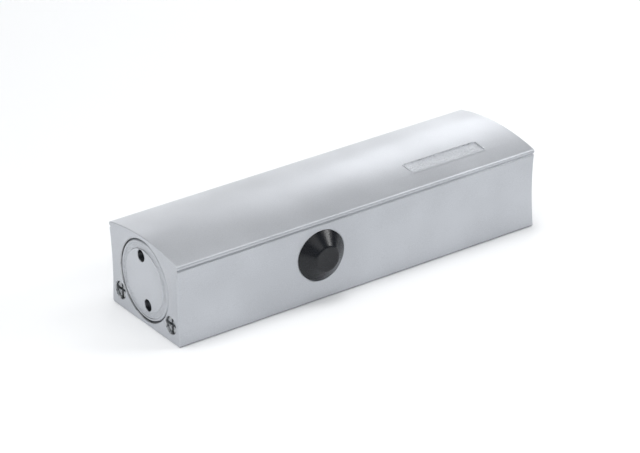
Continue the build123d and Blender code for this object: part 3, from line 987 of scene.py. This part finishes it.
class DOORCLOSER_OT_stage(bpy.types.Operator):
    """Lay the pale floor, hang the soft lights and set up the camera"""

    bl_idname = "doorcloser.stage"
    bl_label = "Stage"

    def execute(self, context):
        settings = context.scene.door_closer_stage
        scene = context.scene
        scene.view_settings.view_transform = "Standard"
        # The floor lies a hair below the case, so that the two don't share a face.
        start_clean()
        bpy.ops.mesh.primitive_plane_add(size=8, location=(0, 0, -0.05 * MM))
        floor = context.active_object
        floor.name = "floor"
        paper = bpy.data.materials.new("pale_paper_floor")
        paper.use_nodes = True
        shader = paper.node_tree.nodes["Principled BSDF"]
        shader.inputs["Base Color"].default_value = settings.floor
        shader.inputs["Roughness"].default_value = 0.9
        give(floor, paper)
        # Each soft box's strength in watts, its place, its size and what it shines at, in metres
        middle, far_end = (0, 0, 0.02), (0.08, 0, 0.04)
        for name, watts, place, size, target in (
            ("back_wall", settings.back, (0.65, 0.95, 0.50), (1.0, 0.3), middle),
            ("back_wall_low", settings.back_low, (0.62, 1.02, 0.10), (0.9, 0.1), middle),
            ("ceiling", settings.ceiling, (0, 0.1, 1.2), (0.9, 0.9), middle),
            ("bead", settings.bead, (0.65, -0.12, 1.05), (0.4, 0.4), middle),
            ("cap_streak", settings.streak, (0.72, -0.47, 0.56), (0.24, 0.24), middle),
            ("front_fill", settings.fill, (-0.08, -0.45, 0.50), (0.35, 0.35), middle),
            ("near_left", settings.near_left, (-0.42, -0.28, 0.30), (0.36, 0.36), middle),
            ("left_back", settings.left, (-0.9, 0.45, 0.35), (0.5, 0.5), middle),
            ("high_left", settings.high_left, (-0.5, 0.2, 1.1), (0.7, 0.7), middle),
            ("right_end", settings.right, (0.60, 0.55, 0.40), (0.4, 0.3), far_end),
        ):
            light = bpy.data.lights.new(name, "AREA")
            light.energy = watts
            light.shape = "RECTANGLE"
            light.size, light.size_y = size
            self.hang(scene, light, place, Vector(target) - Vector(place))
        overhead = bpy.data.lights.new("overhead", "SUN")
        overhead.energy = settings.key
        overhead.angle = math.radians(18)
        self.hang(scene, overhead, (0, 0, 0), Vector((0.07, -0.08, -1.0)))
        world = bpy.data.worlds.new("surroundings")
        world.use_nodes = True
        surround = world.node_tree.nodes["Background"]
        surround.inputs["Color"].default_value = srgb("#f4f7fb")
        surround.inputs["Strength"].default_value = settings.sky
        scene.world = world
        self.camera(scene, settings.lens)
        return {"FINISHED"}

    def hang(self, scene, light, place, aim):
        """Hang a light at its place and turn it to shine along aim."""
        lamp = bpy.data.objects.new(light.name, light)
        scene.collection.objects.link(lamp)
        lamp.location = place
        lamp.rotation_mode = "QUATERNION"
        lamp.rotation_quaternion = aim.to_track_quat("-Z", "Y")

    def camera(self, scene, focal_length):
        """The photograph's viewpoint: a long lens, to the left and above, hardly rolled."""
        lens = bpy.data.cameras.new("camera")
        lens.lens = focal_length
        lens.sensor_width = 36
        lens.sensor_fit = "HORIZONTAL"
        lens.clip_start = 0.05
        lens.clip_end = 50
        camera = bpy.data.objects.new("camera", lens)
        scene.collection.objects.link(camera)
        place = Vector((-775.8, -1110.3, 704.9)) * MM
        back = Vector((-0.5093, -0.7328, 0.4512)).normalized()
        level = Vector((0.8211, -0.5707, 0)).normalized()
        upright = back.cross(level)
        roll = math.radians(-0.98)
        right = level * math.cos(roll) + upright * math.sin(roll)
        up = upright * math.cos(roll) - level * math.sin(roll)
        turned = Matrix((right, up, back)).transposed().to_4x4()
        camera.matrix_world = Matrix.Translation(place) @ turned
        scene.camera = camera


class DOORCLOSER_PT_panel(bpy.types.Panel):
    """Lists each group of sizes and colours with the step that uses it"""

    bl_idname = "DOORCLOSER_PT_panel"
    bl_label = "Door Closer"
    bl_space_type = "VIEW_3D"
    bl_region_type = "UI"
    bl_category = "Door Closer"

    def draw(self, context):
        for group, operator in zip(GROUPS, OPERATORS):
            settings = getattr(context.scene, group)
            box = self.layout.box()
            for name in settings.bl_rna.properties.keys():
                if name not in ("rna_type", "name"):
                    box.prop(settings, name)
            box.operator(operator.bl_idname)


GROUPS = {
    "door_closer_case": CaseSettings,
    "door_closer_plug": PlugSettings,
    "door_closer_screw": ScrewSettings,
    "door_closer_cap": CapSettings,
    "door_closer_spring": SpringSettings,
    "door_closer_stage": StageSettings,
}
# In the order of the groups and of the work
OPERATORS = (
    DOORCLOSER_OT_case,
    DOORCLOSER_OT_end_plugs,
    DOORCLOSER_OT_valves,
    DOORCLOSER_OT_cap,
    DOORCLOSER_OT_works,
    DOORCLOSER_OT_stage,
)
CLASSES = (*GROUPS.values(), *OPERATORS, DOORCLOSER_PT_panel)


def register():
    for cls in CLASSES:
        bpy.utils.register_class(cls)
    for name, cls in GROUPS.items():
        setattr(bpy.types.Scene, name, PointerProperty(type=cls))


def unregister():
    for name in GROUPS:
        delattr(bpy.types.Scene, name)
    for cls in reversed(CLASSES):
        bpy.utils.unregister_class(cls)


def main():
    """Build every piece in order."""
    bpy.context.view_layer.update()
    register()
    bpy.ops.doorcloser.case()
    bpy.ops.doorcloser.end_plugs()
    bpy.ops.doorcloser.valves()
    bpy.ops.doorcloser.cap()
    bpy.ops.doorcloser.works()
    bpy.ops.doorcloser.stage()


if __name__ == "__main__":
    main()
